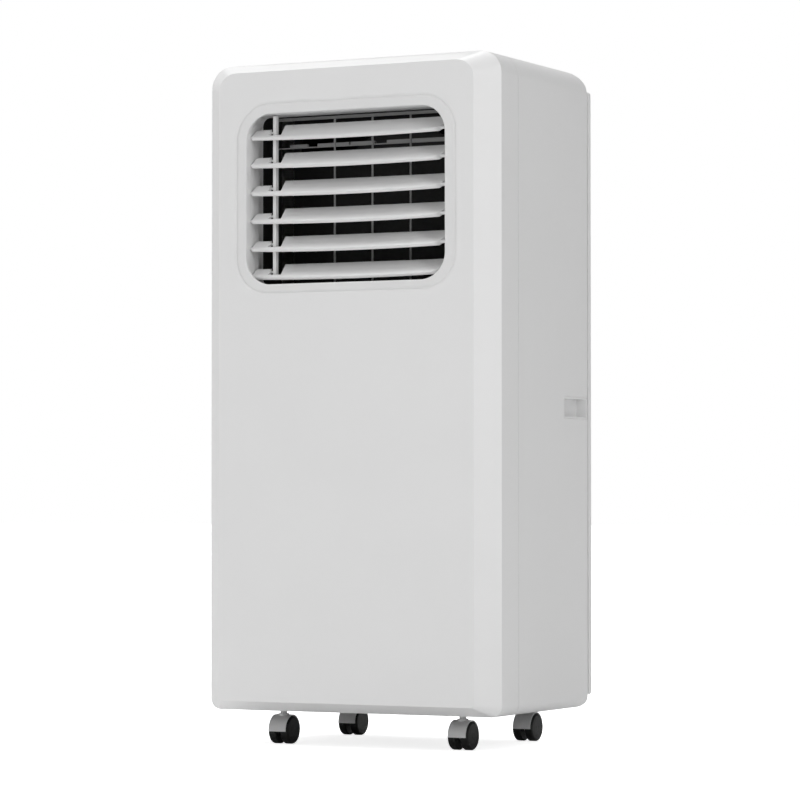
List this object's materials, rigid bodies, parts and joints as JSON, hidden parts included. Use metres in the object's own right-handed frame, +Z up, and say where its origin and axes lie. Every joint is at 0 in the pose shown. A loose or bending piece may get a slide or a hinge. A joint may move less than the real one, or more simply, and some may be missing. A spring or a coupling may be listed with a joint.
{
  "type": "portable air conditioner",
  "caption": "Upright portable air conditioner on swivel casters, with a louvred front outlet, top buttons, side grips and a rear hose outlet.",
  "frame": {"origin": "on the floor under the middle of the object's overall box", "axes": "+Z up, -Y out of the louvred front, +X to the right seen from the front"},
  "size_m": [0.33, 0.25, 0.694],
  "materials": {
    "shell_plastic": "satin white moulded plastic",
    "louvre_plastic": "satin white moulded plastic",
    "dark_plastic": "matt black",
    "guard_plastic": "matt grey",
    "panel_plastic": "gloss light grey",
    "button_plastic": "satin white",
    "display_lens": "gloss smoked",
    "filter_cloth": "woven nylon net",
    "soft_rubber": "matt",
    "hood_plastic": "satin light grey",
    "wheel_plastic": "satin black",
    "steel": "zinc plated",
    "compressor_paint": "gloss black",
    "fin_aluminium": "plain",
    "copper": "plain copper",
    "fan_plastic": "matt black",
    "motor_steel": "plain",
    "board": "green laminate"
  },
  "bodies": {
    "cabinet": {"accumulator": "compressor_paint", "air_duct": "dark_plastic", "base_pan": "guard_plastic", "caster_sockets": "guard_plastic", "compressor": "compressor_paint", "compressor_mounts": "soft_rubber", "condenser_coil": "fin_aluminium", "condenser_fan_motor": "motor_steel", "condenser_scroll": "dark_plastic", "control_board": "board", "control_panel": "panel_plastic", "cord_gland": "dark_plastic", "display_window": "display_lens", "drain_spout": "guard_plastic", "drip_tray": "dark_plastic", "evaporator_coil": "fin_aluminium", "evaporator_fan_motor": "motor_steel", "evaporator_scroll": "dark_plastic", "exhaust_collar": "shell_plastic", "exhaust_duct": "dark_plastic", "front_panel": "shell_plastic", "outlet_frame": "louvre_plastic", "outlet_guard": "guard_plastic", "rear_cover": "shell_plastic", "rear_screws": "steel", "rear_shell": "shell_plastic", "refrigerant_pipes": "copper", "side_handle_left": "shell_plastic", "side_handle_right": "shell_plastic"},
    "louvre_1": {"louvre_1": "louvre_plastic"},
    "louvre_2": {"louvre_2": "louvre_plastic"},
    "louvre_3": {"louvre_3": "louvre_plastic"},
    "louvre_4": {"louvre_4": "louvre_plastic"},
    "louvre_5": {"louvre_5": "louvre_plastic"},
    "louvre_6": {"louvre_6": "louvre_plastic"},
    "louvre_link": {"louvre_link_bar": "louvre_plastic"},
    "button_power": {"button_power": "button_plastic"},
    "button_mode": {"button_mode": "button_plastic"},
    "button_fan": {"button_fan": "button_plastic"},
    "button_timer": {"button_timer": "button_plastic"},
    "button_up": {"button_up": "button_plastic"},
    "button_down": {"button_down": "button_plastic"},
    "filter": {"filter_frame": "shell_plastic", "filter_mesh": "filter_cloth"},
    "drain_bung": {"drain_plug": "soft_rubber"},
    "condenser_fan": {"condenser_fan_wheel": "fan_plastic"},
    "evaporator_fan": {"evaporator_fan_wheel": "fan_plastic"},
    "caster_front_left_fork": {"caster_front_left_hood": "hood_plastic", "caster_front_left_axle": "steel"},
    "caster_front_left_wheelset": {"caster_front_left_wheels": "wheel_plastic"},
    "caster_front_right_fork": {"caster_front_right_hood": "hood_plastic", "caster_front_right_axle": "steel"},
    "caster_front_right_wheelset": {"caster_front_right_wheels": "wheel_plastic"},
    "caster_rear_left_fork": {"caster_rear_left_hood": "hood_plastic", "caster_rear_left_axle": "steel"},
    "caster_rear_left_wheelset": {"caster_rear_left_wheels": "wheel_plastic"},
    "caster_rear_right_fork": {"caster_rear_right_hood": "hood_plastic", "caster_rear_right_axle": "steel"},
    "caster_rear_right_wheelset": {"caster_rear_right_wheels": "wheel_plastic"}
  },
  "joints": [
    {"name": "louvre_1_tilt", "type": "hinge", "parent": "cabinet", "child": "louvre_1", "pos_m": [0, -0.1145, 0.6187], "axis": [1, 0, 0], "range_deg": [-40, 25]},
    {"name": "louvre_2_tilt", "type": "hinge", "parent": "cabinet", "child": "louvre_2", "pos_m": [0, -0.1145, 0.59032], "axis": [1, 0, 0], "range_deg": [-40, 25]},
    {"name": "louvre_3_tilt", "type": "hinge", "parent": "cabinet", "child": "louvre_3", "pos_m": [0, -0.1145, 0.56194], "axis": [1, 0, 0], "range_deg": [-40, 25]},
    {"name": "louvre_4_tilt", "type": "hinge", "parent": "cabinet", "child": "louvre_4", "pos_m": [0, -0.1145, 0.53356], "axis": [1, 0, 0], "range_deg": [-40, 25]},
    {"name": "louvre_5_tilt", "type": "hinge", "parent": "cabinet", "child": "louvre_5", "pos_m": [0, -0.1145, 0.50518], "axis": [1, 0, 0], "range_deg": [-40, 25]},
    {"name": "louvre_6_tilt", "type": "hinge", "parent": "cabinet", "child": "louvre_6", "pos_m": [0, -0.1145, 0.4768], "axis": [1, 0, 0], "range_deg": [-40, 25]},
    {"name": "louvre_link_pivot", "type": "hinge", "parent": "louvre_1", "child": "louvre_link", "pos_m": [-0.0873, -0.1085, 0.6231], "axis": [1, 0, 0], "range_deg": [-25, 40]},
    {"name": "button_power_press", "type": "slide", "parent": "cabinet", "child": "button_power", "axis": [0, 0, -1], "range_m": [0, 0.0012], "stiffness_N_per_m": 400},
    {"name": "button_mode_press", "type": "slide", "parent": "cabinet", "child": "button_mode", "axis": [0, 0, -1], "range_m": [0, 0.0012], "stiffness_N_per_m": 400},
    {"name": "button_fan_press", "type": "slide", "parent": "cabinet", "child": "button_fan", "axis": [0, 0, -1], "range_m": [0, 0.0012], "stiffness_N_per_m": 400},
    {"name": "button_timer_press", "type": "slide", "parent": "cabinet", "child": "button_timer", "axis": [0, 0, -1], "range_m": [0, 0.0012], "stiffness_N_per_m": 400},
    {"name": "button_up_press", "type": "slide", "parent": "cabinet", "child": "button_up", "axis": [0, 0, -1], "range_m": [0, 0.0012], "stiffness_N_per_m": 400},
    {"name": "button_down_press", "type": "slide", "parent": "cabinet", "child": "button_down", "axis": [0, 0, -1], "range_m": [0, 0.0012], "stiffness_N_per_m": 400},
    {"name": "filter_pull", "type": "slide", "parent": "cabinet", "child": "filter", "axis": [0, 1, 0], "range_m": [0, 0.08]},
    {"name": "drain_plug_pull", "type": "slide", "parent": "cabinet", "child": "drain_bung", "axis": [0, 1, 0], "range_m": [0, 0.03]},
    {"name": "condenser_fan_spin", "type": "hinge", "parent": "cabinet", "child": "condenser_fan", "pos_m": [-0.072, 0, 0.16], "axis": [0, 1, 0], "continuous": true},
    {"name": "evaporator_fan_spin", "type": "hinge", "parent": "cabinet", "child": "evaporator_fan", "pos_m": [0, 0, 0.552], "axis": [0, 1, 0], "continuous": true},
    {"name": "caster_front_left_swivel", "type": "hinge", "parent": "cabinet", "child": "caster_front_left_fork", "pos_m": [-0.1024, -0.0636, 0.03], "axis": [0, 0, 1], "continuous": true},
    {"name": "caster_front_left_roll", "type": "hinge", "parent": "caster_front_left_fork", "child": "caster_front_left_wheelset", "pos_m": [-0.1024, -0.0626, 0.0142], "axis": [1, 0, 0], "continuous": true},
    {"name": "caster_front_right_swivel", "type": "hinge", "parent": "cabinet", "child": "caster_front_right_fork", "pos_m": [0.1024, -0.0636, 0.03], "axis": [0, 0, 1], "continuous": true},
    {"name": "caster_front_right_roll", "type": "hinge", "parent": "caster_front_right_fork", "child": "caster_front_right_wheelset", "pos_m": [0.1024, -0.0626, 0.0142], "axis": [1, 0, 0], "continuous": true},
    {"name": "caster_rear_left_swivel", "type": "hinge", "parent": "cabinet", "child": "caster_rear_left_fork", "pos_m": [-0.1024, 0.0876, 0.03], "axis": [0, 0, 1], "continuous": true},
    {"name": "caster_rear_left_roll", "type": "hinge", "parent": "caster_rear_left_fork", "child": "caster_rear_left_wheelset", "pos_m": [-0.1024, 0.0886, 0.0142], "axis": [1, 0, 0], "continuous": true},
    {"name": "caster_rear_right_swivel", "type": "hinge", "parent": "cabinet", "child": "caster_rear_right_fork", "pos_m": [0.1024, 0.0876, 0.03], "axis": [0, 0, 1], "continuous": true},
    {"name": "caster_rear_right_roll", "type": "hinge", "parent": "caster_rear_right_fork", "child": "caster_rear_right_wheelset", "pos_m": [0.1024, 0.0886, 0.0142], "axis": [1, 0, 0], "continuous": true}
  ],
  "couplings": [
    {"joint": "louvre_2_tilt", "follows": "louvre_1_tilt", "ratio": 1},
    {"joint": "louvre_3_tilt", "follows": "louvre_1_tilt", "ratio": 1},
    {"joint": "louvre_4_tilt", "follows": "louvre_1_tilt", "ratio": 1},
    {"joint": "louvre_5_tilt", "follows": "louvre_1_tilt", "ratio": 1},
    {"joint": "louvre_6_tilt", "follows": "louvre_1_tilt", "ratio": 1},
    {"joint": "louvre_link_pivot", "follows": "louvre_1_tilt", "ratio": -1}
  ]
}
